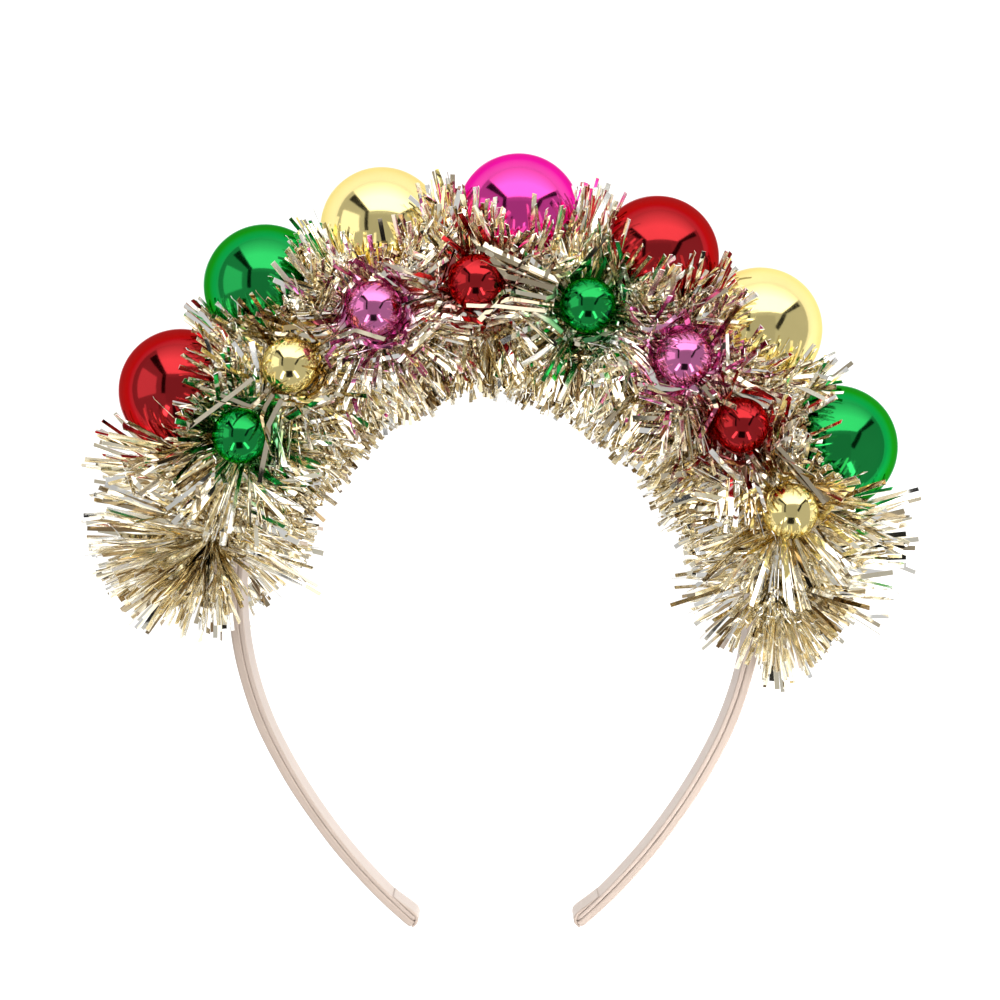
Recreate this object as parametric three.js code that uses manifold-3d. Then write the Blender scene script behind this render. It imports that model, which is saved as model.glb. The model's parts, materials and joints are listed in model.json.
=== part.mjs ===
// Christmas bauble headband: a ribbon-covered band with tinsel along its arch and two rows of glossy balls.
// Millimetres. The headband lies on its back: X runs across it, Y points to the crown and Z up to its front.
import * as THREE from 'three';
import { mergeVertices } from 'three/addons/utils/BufferGeometryUtils.js';
import Module from 'manifold-3d';

const wasm = await Module();
wasm.setup();

const DEGREE = Math.PI / 180;
const GAP = 0.3;
const FLOOR = { size: 400, depth: 40 };

// Balls: angle from the crown, positive to the right, and reach from the centre of the arch
const LARGE_RADIUS = 15;
const LARGE_DETAIL = 3;
const LARGE_BALLS = [
  { colour: 'red', angle: -57.9, reach: 89.7 },
  { colour: 'green', angle: -37.3, reach: 91.6 },
  { colour: 'gold', angle: -17.6, reach: 90.9 },
  { colour: 'magenta', angle: 3.5, reach: 90.1 },
  { colour: 'red', angle: 26.0, reach: 88.7 },
  { colour: 'gold', angle: 45.6, reach: 89.3 },
  { colour: 'green', angle: 67.4, reach: 88.7 },
];
const SMALL_RADIUS = 6.5;
const SMALL_DETAIL = 2;
const SMALL_FORWARD = 17;
const SMALL_BALLS = [
  { colour: 'green', angle: -58.6, reach: 69.4 },
  { colour: 'gold', angle: -42.2, reach: 71.0 },
  { colour: 'pink', angle: -23.3, reach: 71.4 },
  { colour: 'red', angle: -3.7, reach: 72.0 },
  { colour: 'green', angle: 17.8, reach: 69.8 },
  { colour: 'pink', angle: 38.8, reach: 69.6 },
  { colour: 'red', angle: 55.8, reach: 68.7 },
  { colour: 'gold', angle: 74.6, reach: 70.7 },
];
const STEM_RADIUS = 0.9;
const STEM_SIDES = 6;
const STEM_LIFT = 0.7;

// Band: arcs from the crown down each leg, then the thicknesses of the wrapped band and of its lining
const MIDDLE_HEIGHT = LARGE_RADIUS;
const ARCH = [
  { radius: 62.4, turn: 90 * DEGREE },
  { radius: 82, turn: 27 * DEGREE },
  { radius: 139.6, turn: 22.5 * DEGREE },
];
const BAND_STEPS = 46;
const BAND_WIDTH = 10;
const BAND_INNER = -0.4;
const BAND_THICK = 2.1;
const BAND_TIP_THICK = 1.7;
const BAND_ROUND = 0.6;
const LINING_WIDTH = 9.6;
const LINING_THICK = 1;
const LINING_ROUND = 0.3;
const FOLD_LENGTH = 8;
const FOLD_THICK = 1;
const FOLD_WIDTH = 9.2;
const FOLD_SHOULDER = 0.7;
const FOLD_STEPS = 4;

// Tinsel: a root sleeve that sits on the band, and the strips that stand out from it
const SLEEVE_OFFSET = 6;
const SLEEVE_RADIUS = 5.5;
const SLEEVE_FROM = -82 * DEGREE * ARCH[0].radius;
const SLEEVE_TO = 90 * DEGREE * ARCH[0].radius;
const STRIP_ROWS = 15;
const STRIP_ROW_LENGTH = (SLEEVE_TO - SLEEVE_FROM) / STRIP_ROWS;
const STRIPS_AROUND = 12;
const STRIP_LENGTH = 29.5;
const STRIP_LENGTH_SPREAD = 2.5;
const STRIP_STEPS = 3;
const BALL_CLEAR = 2.8;
const HEAD_ON = -0.8;
const PUSH_TURNS = 4;
const STRIP_WIDTH = 4.6;
const STRIP_TIP_WIDTH = 6;
const STRIP_THICK = 1.5;
const STRIP_LEAN = 17 * DEGREE;
const STRIP_TWIST = 20 * DEGREE;
const STRIP_STAGGER = 6 * DEGREE;
const GOLDEN_TURN = 137.5 * DEGREE;
const BEND_FROM = 110 * DEGREE;
const BEND_ROOT = { out: 6.6, height: 3.9 };
const BEND_ELBOW = { out: 0.5, height: 7.6 };
const BEND_VARY = 1.4;
const BENDS = [
  { shift: -0.25, reach: 17, spread: 1 },
  { shift: 0.25, reach: 14, spread: 9 },
];
const END_DEPTH = 2;
const END_LENGTH = 26;
const END_ROOT_WIDTH = 2.4;
const END_VARY = 5 * DEGREE;
const END_RINGS = [
  { open: 4 * DEGREE, count: 1, from: 0.4 },
  { open: 36 * DEGREE, count: 6, from: 2.9 },
  { open: 70 * DEGREE, count: 8, from: 4.6 },
];
const END_LOWEST = -0.1;

const UP = new THREE.Vector3(0, 0, 1);
const HALF_LENGTH = ARCH.reduce((sum, arc) => sum + arc.radius * arc.turn, 0);
const CROWN_LENGTH = ARCH[0].radius * ARCH[0].turn;
const LINING_OUTER = BAND_INNER - GAP;
const LINING_INNER = LINING_OUTER - LINING_THICK;
const BAND_OUTER = BAND_INNER + BAND_THICK;

function finish(color, roughness, metalness) {
  return new THREE.MeshStandardMaterial({ color, roughness, metalness });
}

const RIBBON = finish(0xe6d2c8, 0.55, 0);
const LINING_RIBBON = finish(0xefe0d8, 0.6, 0);
const TINSEL = finish(0xc8b078, 0.25, 1);
const STEM = finish(0xb0a890, 0.5, 0.6);
const BALL_FINISHES = {
  red: finish(0xc42030, 0.12, 0.8),
  green: finish(0x0c9a44, 0.12, 0.8),
  gold: finish(0xe8cf78, 0.12, 0.8),
  magenta: finish(0xd02a8c, 0.12, 0.8),
  pink: finish(0xd878b4, 0.12, 0.8),
};

// Place on the band's centreline at a length from the crown, with the ways along and out of the band.
// Past a tip the line runs straight on.
function archPlace(length) {
  const side = length < 0 ? -1 : 1;
  const outward = (heading) => new THREE.Vector3(Math.sin(heading), Math.cos(heading), 0);
  const point = outward(0).multiplyScalar(ARCH[0].radius);
  let heading = 0;
  let rest = Math.abs(length);
  for (const { radius, turn } of ARCH) {
    const step = Math.min(rest / radius, turn);
    point.addScaledVector(outward(heading), -radius);
    point.addScaledVector(outward(heading + step), radius);
    heading += step;
    rest -= step * radius;
  }
  const along = new THREE.Vector3(Math.cos(heading), -Math.sin(heading), 0);
  point.addScaledVector(along, rest);
  const out = outward(heading);
  const mirror = new THREE.Vector3(side, 1, 1);
  point.multiply(mirror);
  out.multiply(mirror);
  along.multiply(mirror).multiplyScalar(side);
  point.z = MIDDLE_HEIGHT;
  return { point, along, out };
}

// Point beside the centreline: a distance out of the band and a height above its middle.
function beside(place, out, height) {
  return place.point.clone().addScaledVector(place.out, out).addScaledVector(UP, height);
}

// Closed skin through a row of rings with equal numbers of points, each ring turning about the way along.
function loft(rings) {
  const count = rings[0].length;
  const last = (rings.length - 1) * count;
  const corners = [];
  for (let row = 0; row < last; row += count) {
    for (let k = 0; k < count; k += 1) {
      const next = (k + 1) % count;
      corners.push(row + k, row + next, row + count + k);
      corners.push(row + next, row + count + next, row + count + k);
    }
  }
  for (let k = 1; k + 1 < count; k += 1) {
    corners.push(0, k + 1, k);
    corners.push(last, last + k, last + k + 1);
  }
  const geometry = new THREE.BufferGeometry().setFromPoints(rings.flat());
  geometry.setIndex(corners);
  return geometry;
}

// Section carried along the band from one length to another.
function alongBand(from, to, steps, section) {
  const rings = [];
  for (let step = 0; step <= steps; step += 1) {
    const length = from + ((to - from) * step) / steps;
    const place = archPlace(length);
    rings.push(section(length).map(({ out, height }) => beside(place, out, height)));
  }
  return loft(rings);
}

// Rectangle from a plain back to a face whose two corners are cut off.
function bevelled(back, face, width, cut) {
  const half = width / 2;
  const shoulder = face + Math.sign(back - face) * cut;
  const ring = [
    { out: back, height: -half },
    { out: shoulder, height: -half },
    { out: face, height: cut - half },
    { out: face, height: half - cut },
    { out: shoulder, height: half },
    { out: back, height: half },
  ];
  return face > back ? ring : ring.reverse();
}

function bandSection(length) {
  const past = Math.max(0, Math.abs(length) - CROWN_LENGTH) / (HALF_LENGTH - CROWN_LENGTH);
  const outer = BAND_OUTER - (BAND_THICK - BAND_TIP_THICK) * past;
  return bevelled(BAND_INNER, outer, BAND_WIDTH, BAND_ROUND);
}

function liningSection() {
  return bevelled(LINING_OUTER, LINING_INNER, LINING_WIDTH, LINING_ROUND);
}

// Ribbon end turned over a tip: from the outer face round the end, then back along the inner face.
function tipFold(side) {
  const tipOuter = BAND_INNER + BAND_TIP_THICK;
  const seat = LINING_INNER - GAP;
  const face = seat - FOLD_THICK;
  const middle = (seat + tipOuter) / 2;
  const outline = [];
  const put = (past, out) => {
    const place = archPlace(side * (HALF_LENGTH + past));
    const corner = beside(place, out, 0);
    outline.push(new THREE.Vector2(corner.x, corner.y));
  };
  for (let step = 0; step < FOLD_STEPS; step += 1) {
    put(-FOLD_LENGTH * (1 - step / FOLD_STEPS), seat);
  }
  put(GAP, seat);
  put(GAP, tipOuter);
  put(GAP + FOLD_THICK * FOLD_SHOULDER, tipOuter);
  put(GAP + FOLD_THICK, middle);
  put(GAP + FOLD_THICK * FOLD_SHOULDER, (seat + face) / 2);
  put(GAP, face);
  for (let step = FOLD_STEPS - 1; step > 0; step -= 1) {
    put(-FOLD_LENGTH * (1 - step / FOLD_STEPS), face);
  }
  const options = { depth: FOLD_WIDTH, bevelEnabled: false };
  const geometry = new THREE.ExtrudeGeometry(new THREE.Shape(outline), options);
  geometry.translate(0, 0, MIDDLE_HEIGHT - FOLD_WIDTH / 2);
  return geometry;
}

function ballCentre({ angle, reach }, forward) {
  const turn = angle * DEGREE;
  return new THREE.Vector3(reach * Math.sin(turn), reach * Math.cos(turn), MIDDLE_HEIGHT + forward);
}

// Ball of even facets with one corner straight down.
function ball(centre, radius, detail) {
  const geometry = new THREE.IcosahedronGeometry(radius, detail);
  const corner = new THREE.Vector3().fromBufferAttribute(geometry.attributes.position, 0).normalize();
  const down = new THREE.Quaternion().setFromUnitVectors(corner, UP.clone().negate());
  geometry.applyQuaternion(down);
  geometry.translate(centre.x, centre.y, centre.z);
  return geometry;
}

// Straight post from one point to another.
function post(from, to, radius) {
  const way = to.clone().sub(from);
  const geometry = new THREE.CylinderGeometry(radius, radius, way.length(), STEM_SIDES);
  const turn = new THREE.Quaternion().setFromUnitVectors(new THREE.Vector3(0, 1, 0), way.clone().normalize());
  geometry.applyQuaternion(turn);
  const middle = from.clone().add(to).multiplyScalar(0.5);
  geometry.translate(middle.x, middle.y, middle.z);
  return geometry;
}

// A large ball's post stands on the band's outer face, and a small one's on its front edge.
function largeSeat(row) {
  return beside(archPlace(row.angle * DEGREE * ARCH[0].radius), BAND_OUTER + GAP, 0);
}

function smallSeat(row) {
  const place = archPlace(row.angle * DEGREE * ARCH[0].radius);
  return beside(place, (BAND_INNER + BAND_OUTER) / 2, BAND_WIDTH / 2 + STEM_LIFT);
}

function stemEnd(seat, centre, radius) {
  const back = seat.clone().sub(centre).normalize();
  return centre.clone().addScaledVector(back, radius + GAP / 2);
}

const balls = [];
for (const [k, row] of LARGE_BALLS.entries()) {
  const centre = ballCentre(row, 0);
  const seat = largeSeat(row);
  const name = `large_${k + 1}`;
  balls.push({ name, colour: row.colour, centre, radius: LARGE_RADIUS, detail: LARGE_DETAIL, seat });
}
for (const [k, row] of SMALL_BALLS.entries()) {
  const centre = ballCentre(row, SMALL_FORWARD);
  const seat = smallSeat(row);
  const name = `small_${k + 1}`;
  balls.push({ name, colour: row.colour, centre, radius: SMALL_RADIUS, detail: SMALL_DETAIL, seat });
}

// Flat strip through two or more points, its width in the way across, or lying flat on the ball it passes.
function strip(path, across, rootWidth = STRIP_WIDTH) {
  const rings = path.map(({ point, lie }, k) => {
    const before = path[Math.max(k - 1, 0)].point;
    const after = path[Math.min(k + 1, path.length - 1)].point;
    const way = after.clone().sub(before).normalize();
    const wide = lie ? way.clone().cross(lie) : across.clone();
    wide.addScaledVector(way, -wide.dot(way)).normalize();
    wide.multiplyScalar(wide.dot(across) < 0 ? -1 : 1);
    const flat = way.clone().cross(wide);
    const share = k / (path.length - 1);
    const half = (rootWidth + (STRIP_TIP_WIDTH - rootWidth) * share) / 2;
    const corner = (a, b) =>
      point.clone().addScaledVector(wide, a * half).addScaledVector(flat, (b * STRIP_THICK) / 2);
    return [corner(-1, -1), corner(1, -1), corner(0, 1)];
  });
  return loft(rings);
}

// Point moved out of every ball that it lies too close to, with the way that it was last pushed.
function pushOut(start) {
  const point = start.clone();
  let lie = null;
  for (let turn = 0; turn < PUSH_TURNS; turn += 1) {
    for (const { centre, radius } of balls) {
      const away = point.clone().sub(centre);
      if (away.length() < radius + BALL_CLEAR) {
        lie = away.normalize();
        point.copy(centre).addScaledVector(lie, radius + BALL_CLEAR);
      }
    }
  }
  return { point, lie };
}

function caught(point) {
  return balls.some(({ centre, radius }) => point.distanceTo(centre) < radius + BALL_CLEAR / 2);
}

// Straight strip from its root, or one that is turned aside by the balls that it meets and runs on past them.
// One that points straight at a ball, or stays caught between two, is left out.
function freeStrip(root, way, across, length, rootWidth) {
  const path = [{ point: root, lie: null }];
  const step = length / STRIP_STEPS;
  let heading = way;
  for (let k = 0; k < STRIP_STEPS; k += 1) {
    const from = path[k].point;
    const next = pushOut(from.clone().addScaledVector(heading, step));
    const middle = from.clone().lerp(next.point, 0.5);
    if ((next.lie && next.lie.dot(heading) < HEAD_ON) || caught(next.point) || caught(middle)) {
      return [];
    }
    if (next.lie) {
      heading = next.point.clone().sub(from).normalize();
    }
    path.push(next);
  }
  const met = path.some(({ lie }) => lie !== null);
  return [strip(met ? path : [path[0], path[STRIP_STEPS]], across, rootWidth)];
}

// Strips that come down beside the band, in front of it and behind it, and then point into the arch.
function bentStrips(length, row) {
  const made = [];
  for (const side of [-1, 1]) {
    for (const [k, { shift, reach, spread }] of BENDS.entries()) {
      const vary = Math.sin(GOLDEN_TURN * (row * BENDS.length + k + side));
      const place = archPlace(length + side * shift * STRIP_ROW_LENGTH);
      const root = beside(place, BEND_ROOT.out, side * BEND_ROOT.height);
      const elbow = beside(place, BEND_ELBOW.out, side * BEND_ELBOW.height);
      const tip = beside(place, -reach - BEND_VARY * vary, side * (BEND_ELBOW.height + spread));
      tip.addScaledVector(place.along, BEND_VARY * vary);
      made.push(strip([{ point: root }, { point: elbow }, { point: tip }], place.along));
    }
  }
  return made;
}

// Strips round the sleeve at one place, each through its own facet.
function roundStrips(length, row) {
  const made = [];
  const place = archPlace(length);
  const root = beside(place, SLEEVE_OFFSET, 0);
  const stagger = row % 2 === 0 ? STRIP_STAGGER : -STRIP_STAGGER;
  for (let k = 0; k < STRIPS_AROUND; k += 1) {
    const turn = (2 * Math.PI * (k + 0.5)) / STRIPS_AROUND - Math.PI + stagger;
    if (Math.abs(turn) > BEND_FROM) {
      continue;
    }
    const vary = Math.sin(GOLDEN_TURN * (row * STRIPS_AROUND + k));
    const lean = STRIP_LEAN * vary;
    const base = place.out.clone().multiplyScalar(Math.cos(turn)).addScaledVector(UP, Math.sin(turn));
    const way = base.clone().multiplyScalar(Math.cos(lean)).addScaledVector(place.along, Math.sin(lean));
    const across = place.along.clone().applyAxisAngle(way, STRIP_TWIST * vary);
    made.push(...freeStrip(root, way, across, STRIP_LENGTH + STRIP_LENGTH_SPREAD * vary));
  }
  return made;
}

function sleeveStrips() {
  const made = [];
  for (let row = 0; row < STRIP_ROWS; row += 1) {
    const length = SLEEVE_FROM + STRIP_ROW_LENGTH * (row + 0.5);
    made.push(...roundStrips(length, row));
    made.push(...bentStrips(length, row));
  }
  return made;
}

// Strips that fan out past an end of the sleeve, clear of the leg that runs on below it.
function endStrips(length, outwards) {
  const made = [];
  const place = archPlace(length - outwards * END_DEPTH);
  const end = place.along.clone().multiplyScalar(outwards);
  for (const [ring, { open, count, from }] of END_RINGS.entries()) {
    for (let k = 0; k < count; k += 1) {
      const vary = END_VARY * Math.sin(GOLDEN_TURN * (k + ring * count + outwards));
      const turn = (2 * Math.PI * (k + 0.5)) / count + vary;
      const round = place.out.clone().multiplyScalar(Math.cos(turn)).addScaledVector(UP, Math.sin(turn));
      const root = beside(place, SLEEVE_OFFSET, 0).addScaledVector(round, from);
      const lean = open + vary;
      const way = end.clone().multiplyScalar(Math.cos(lean)).addScaledVector(round, Math.sin(lean));
      const across = round.clone().cross(end).normalize();
      if (way.dot(place.out) > END_LOWEST) {
        made.push(...freeStrip(root, way, across, END_LENGTH, END_ROOT_WIDTH));
      }
    }
  }
  return made;
}

function solidOf(geometry) {
  const bare = geometry.clone();
  bare.deleteAttribute('normal');
  bare.deleteAttribute('uv');
  const merged = mergeVertices(bare);
  const vertProperties = merged.attributes.position.array;
  const triVerts = Uint32Array.from(merged.index.array);
  return new wasm.Manifold(new wasm.Mesh({ numProp: 3, vertProperties, triVerts }));
}

function geometryOf(solid) {
  const { vertProperties, triVerts } = solid.getMesh();
  const geometry = new THREE.BufferGeometry();
  geometry.setAttribute('position', new THREE.BufferAttribute(vertProperties, 3));
  geometry.setIndex(new THREE.BufferAttribute(triVerts, 1));
  return geometry;
}

// Sleeve and strips in one body, with holes for the posts, and cut flat where it lies.
function tinselGarland() {
  const chordSag = ARCH[0].radius * (1 - Math.cos(STRIP_ROW_LENGTH / ARCH[0].radius / 2));
  const floorOfSleeve = BAND_OUTER + GAP + chordSag;
  const ring = Array.from({ length: STRIPS_AROUND }, (_, k) => {
    const turn = (2 * Math.PI * k) / STRIPS_AROUND;
    const out = SLEEVE_OFFSET + SLEEVE_RADIUS * Math.cos(turn);
    return { out: Math.max(out, floorOfSleeve), height: SLEEVE_RADIUS * Math.sin(turn) };
  });
  const strips = [...sleeveStrips(), ...endStrips(SLEEVE_FROM, -1), ...endStrips(SLEEVE_TO, 1)];
  let garland = solidOf(alongBand(SLEEVE_FROM, SLEEVE_TO, STRIP_ROWS, () => ring));
  for (const made of strips) {
    garland = garland.add(solidOf(made));
  }
  for (const { centre, radius, detail, seat } of balls) {
    const end = stemEnd(seat, centre, radius);
    const below = seat.clone().add(seat.clone().sub(end).setLength(STEM_LIFT));
    garland = garland.subtract(solidOf(post(below, end, STEM_RADIUS + GAP)));
    garland = garland.subtract(solidOf(ball(centre, radius + GAP, detail)));
  }
  const floor = new THREE.BoxGeometry(FLOOR.size, FLOOR.size, FLOOR.depth);
  floor.translate(0, 0, -FLOOR.depth / 2);
  return geometryOf(garland.subtract(solidOf(floor)));
}

const pieces = new THREE.Group();

function addPiece(name, geometry, material) {
  const mesh = new THREE.Mesh(geometry, material);
  mesh.name = name;
  pieces.add(mesh);
}

addPiece('band', alongBand(-HALF_LENGTH, HALF_LENGTH, BAND_STEPS, bandSection), RIBBON);
addPiece('lining', alongBand(-HALF_LENGTH, HALF_LENGTH, BAND_STEPS, liningSection), LINING_RIBBON);
addPiece('tip_fold_left', tipFold(-1), RIBBON);
addPiece('tip_fold_right', tipFold(1), RIBBON);
addPiece('tinsel_garland', tinselGarland(), TINSEL);
for (const { name, colour, centre, radius, detail, seat } of balls) {
  addPiece(`bauble_${name}`, ball(centre, radius, detail), BALL_FINISHES[colour]);
  addPiece(`stem_${name}`, post(seat, stemEnd(seat, centre, radius), STEM_RADIUS), STEM);
}

// The origin is under the middle of the whole headband.
const box = new THREE.Box3().setFromObject(pieces);
const middle = box.getCenter(new THREE.Vector3());
pieces.position.set(-middle.x, -middle.y, -box.min.z);

const headband = new THREE.Group();
headband.add(pieces);

export default headband;
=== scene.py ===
"""Christmas bauble headband: a satin band, a tinsel garland and two rows of glossy balls."""

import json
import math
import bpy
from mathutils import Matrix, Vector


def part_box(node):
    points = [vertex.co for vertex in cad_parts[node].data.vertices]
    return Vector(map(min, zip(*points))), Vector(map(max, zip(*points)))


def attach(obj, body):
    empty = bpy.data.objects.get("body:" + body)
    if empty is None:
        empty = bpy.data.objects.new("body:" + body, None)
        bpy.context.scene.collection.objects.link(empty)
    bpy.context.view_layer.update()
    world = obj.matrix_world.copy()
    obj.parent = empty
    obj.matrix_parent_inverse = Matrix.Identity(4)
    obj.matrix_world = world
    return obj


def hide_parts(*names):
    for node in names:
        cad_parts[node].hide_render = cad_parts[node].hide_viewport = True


bl_info = {
    "name": "Christmas Bauble Headband",
    "version": (1, 0, 0),
    "blender": (4, 5, 0),
    "location": "View3D > Sidebar > Headband",
    "description": "Dresses a headband with satin ribbon, gold tinsel and two rows of glossy balls",
    "category": "Add Mesh",
}

import bpy
import numpy as np

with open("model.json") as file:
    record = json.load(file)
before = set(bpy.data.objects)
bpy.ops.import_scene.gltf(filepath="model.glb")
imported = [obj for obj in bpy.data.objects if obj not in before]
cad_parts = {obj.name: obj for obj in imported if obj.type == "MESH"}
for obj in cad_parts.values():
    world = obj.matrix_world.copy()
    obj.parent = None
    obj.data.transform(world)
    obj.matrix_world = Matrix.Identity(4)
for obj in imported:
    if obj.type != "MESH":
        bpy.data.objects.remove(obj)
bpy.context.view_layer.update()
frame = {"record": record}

MM = 0.001
DEGREE = math.pi / 180
QUARTER = math.pi / 2
WHOLE_TURN = 2 * math.pi
LEAST_LENGTH = 1e-12
ACROSS = np.array([1.0, 0.0, 0.0])
CROWNWARD = np.array([0.0, 1.0, 0.0])
UP = np.array([0.0, 0.0, 1.0])
IN_PLANE = np.array([1.0, 1.0, 0.0])
SLOT_COLOURS = {row["slot"]: row["base_color"] for row in frame["record"]["materials"]}
RIBBON_MAP = "ribbon"
BAKE_MAP = "OFBake"

# Band: arcs from the crown down each leg, as radius and turn, and places out of its centreline
ARCS = ((62.4 * MM, 90 * DEGREE), (82 * MM, 27 * DEGREE), (139.6 * MM, 22.5 * DEGREE))
HALF_LENGTH = sum(radius * turn for radius, turn in ARCS)
CROWN_RADIUS, CROWN_TURN = ARCS[0]
CROWN_LENGTH = CROWN_RADIUS * CROWN_TURN
GAP = 0.3 * MM
BAND_INNER = -0.4 * MM
BAND_THICK = 2.1 * MM
BAND_OUTER = BAND_INNER + BAND_THICK
LINING_OUTER = BAND_INNER - GAP
BAND_LOW, BAND_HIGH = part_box("band")
BAND_WIDTH = BAND_HIGH.z - BAND_LOW.z
LINING_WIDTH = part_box("lining")[1].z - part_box("lining")[0].z
FOLD_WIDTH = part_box("tip_fold_left")[1].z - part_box("tip_fold_left")[0].z
ARCH_CENTRE = np.array([
    (BAND_LOW.x + BAND_HIGH.x) / 2,
    BAND_HIGH.y - CROWN_RADIUS - BAND_OUTER,
    (BAND_LOW.z + BAND_HIGH.z) / 2,
])

# Ribbons: steps along them, points on each side and corner of their profiles, and rounding at their ends
BAND_STEPS = 360
BAND_PROFILE = (9, 6)
BAND_END_ROUND = 1.2 * MM
LINING_STEPS = 320
LINING_PROFILE = (9, 5)
LINING_END_ROUND = 1.5 * MM
END_LEAST_SIZE = 0.7
END_NARROWER = 0.07

# Waves along the ribbons, as a height and two lengths, and how far the seam between them closes
BAND_WAVE = (0.05 * MM, 3.7 * MM, 11 * MM)
LINING_WAVE = (0.06 * MM, 5.3 * MM, 17 * MM)
SEAM_WAVE = (0.5, 1.9 * MM, 5.1 * MM)
SEAM_MIDDLE = 0.5
SEAM_CLOSED = 0.75

# Folds: steps flat, round the bend and up the tip, and how their thickness and width change
FOLD_STEPS = (16, 9, 7)
FOLD_PROFILE = (7, 5)
FOLD_BEND = 1.6 * MM
FOLD_RISE = 0.8
FOLD_GROWS = 0.75
FOLD_THINS = 1.5 * MM
FOLD_LEAST = (0.2, 0.3)
FOLD_NARROWER = 0.06
FOLD_ROUND = 0.42

# Finishes: scale and detail of each noise, and how far two of them are stretched
NOISES = {
    "streaks": (1.0, 2.0),
    "patches": (90.0, 3.0),
    "creases": (700.0, 2.0),
    "clouds": (110.0, 3.0),
    "smears": (160.0, 4.0),
    "ripple": (420.0, 2.0),
    "scuffs": (500.0, 4.0),
}
STREAK_STRETCH = (60, 2600, 1)
SMEAR_STRETCH = (1, 3, 1)

# Finishes: darkest and lightest tone, least and most roughness, and depth and strength of the relief
TONES = {"satin": (0.78, 1.2), "lacquer": (0.9, 1.1), "post": (0.6, 1.2)}
ROUGHNESS = {"satin": (0.42, 0.64), "foil": (0.03, 0.13), "lacquer": (0.06, 0.14), "post": (0.35, 0.65)}
RELIEF = {
    "satin": (0.05 * MM, 0.6),
    "foil": (0.08 * MM, 0.07),
    "lacquer": (0.02 * MM, 0.3),
    "post": (0.05 * MM, 0.4),
}

# Satin: its even settings, the streaks' share of its tone, the weave's share of its relief, and its sheens
SATIN_SHINE = {"Sheen Roughness": 0.35, "Specular IOR Level": 0.35}
STREAK_SHARE = 0.6
WEAVE_SHARE = 0.5
BAND_SHEEN = 0.45
LINING_SHEEN = 0.35
LINING_COARSER = 1.5

# Foil: tones up to which it is deep, and between which it turns from gold to pale
DEEP_TO = 0.2
PALE_FROM = 0.3
PALE_TO = 0.7

# Lacquer: its even settings, and the power of its colour at a ball's edge, which is paler than its face
LACQUER_SHINE = {"Metallic": 1.0, "Coat Weight": 0.04, "Coat Roughness": 0.05}
EDGE_POWER = 0.6

# Balls: the lacquers, and the one on each ball from left to right
LACQUERS = ("red", "green", "gold", "magenta", "pink")
BALL_ROWS = {
    "large": ("red", "green", "gold", "magenta", "red", "gold", "green"),
    "small": ("green", "gold", "pink", "red", "green", "pink", "red", "gold"),
}

# Balls: rings and points round them, the first ring's angle, and how much the points crowd at the seam
BALL_GRIDS = {"large": (72, 128), "small": (48, 96)}
POLE_ANGLE = 0.004
SEAM_CROWDING = 0.45

# Collar of a ball: places along its axis as shares of its radius, and radii as shares of the neck's
COLLAR = ((1.0, 0.97), (1.045, 0.97), (1.055, 0.9), (1.05, 0.4))
COLLAR_STEP = 0.1

# Posts: rings and points round them, lobes, twist, ends, metal and lift, and a way that no axis here has
POST_GRID = (25, 16)
POST_LOBES = 0.14
POST_TWIST = 2.2 / MM
POST_END = 0.9
POST_METAL = 0.6
SMALL_POST_LIFT = 0.7 * MM
ASLANT = np.array([0.3, 0.12, 1.0])

# Tinsel core: its place out of the band, its radius, and how far round the arch it runs
CORE_OUT = 6 * MM
CORE_RADIUS = 1.2 * MM
TINSEL_FROM = -82 * DEGREE
TINSEL_TO = 90 * DEGREE

# Strips as meshes: steps and sides of each, strips to a piece, and the margin of each cell on their map
STRIP_STEPS = 6
STRIP_SIDES = 4
STRIP_POINTS = (STRIP_STEPS + 1) * STRIP_SIDES
PIECE_STRIPS = 3600
MAP_MARGIN = 0.08

# Tinsel, by degrees round the arch: how many mm its core stands out and its strips reach in
CORE_BULGE = ((-82, -76, -67, -58, -50, 60, 71, 79, 85, 90), (0.5, 3, 6, 4, 0, 0, 4.5, 6, 0, -1.5))
INNER_BULGE = (
    (-82, -60, -44, -34, -25, -16, 1, 8, 20, 44, 52, 58, 67, 76, 90),
    (3.5, 2.5, 0, -2, 0.6, -1.6, -2.4, 0, 1.6, 2.8, 0.8, 2, 5.5, 3, 0),
)

# Strips: room left to large and small balls and to the floor, kinks, and how much their width points up
BALL_ROOM = (0.7 * MM, 2.2 * MM)
CROSSING_ROOM = (0.7 * MM, 0.7 * MM)
FLOOR_CLEAR = 0.75 * MM
KINK_TURN = 0.6
KINK_FIRST = 2
WIDTH_UP = 0.5

# Free strips: most turn, the turn past which a share is kept, and the most lean in usual leans
FREE_TURN = 124 * DEGREE
FRONT_TURN = 48 * DEGREE
FRONT_KEPT = 0.15
LEAN_LIMIT = 2

# Strips at the ends: how far they open, and limits and shares for the left and the right end
END_INSET = 3 * DEGREE
END_OPEN = 84 * DEGREE
END_LEAST = (0.12, 0.0)
END_SHORTER = (0.14, 0.16)
END_ASIDE = (0.12, 0.3)

# Rosettes that the small balls press aside: foot, rise, size, and how much shorter they are outwards
ROSETTE_FOOT = 21.5 * MM
ROSETTE_RISE = (0 * DEGREE, 31 * DEGREE)
ROSETTE_SIZE = 0.86
ROSETTE_SHORTER = 0.38

# Crossing strips: the ball that they start beside, the next one and their count, and places in radii
CROSSINGS = ((5, 4, 9), (2, 1, 5), (7, 8, 2), (2, 3, 1), (6, 7, 3))
CROSSING_SWING = 17 * DEGREE
CROSSING_RISE = (2 * DEGREE, 11 * DEGREE)
CROSSING_LIFT = (-0.2, 0.3)
CROSSING_ROOT = 1.2
CROSSING_FAN = 2.0
CROSSING_SIZE = 0.68
# Crossing strips' tones are low, so they are deep gold: painted shade that dims their reflection
CROSSING_PAINTED_SHADE_TONES = (0.05, 0.17)
CROSSING_WIDTH_UP = 0.25

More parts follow.
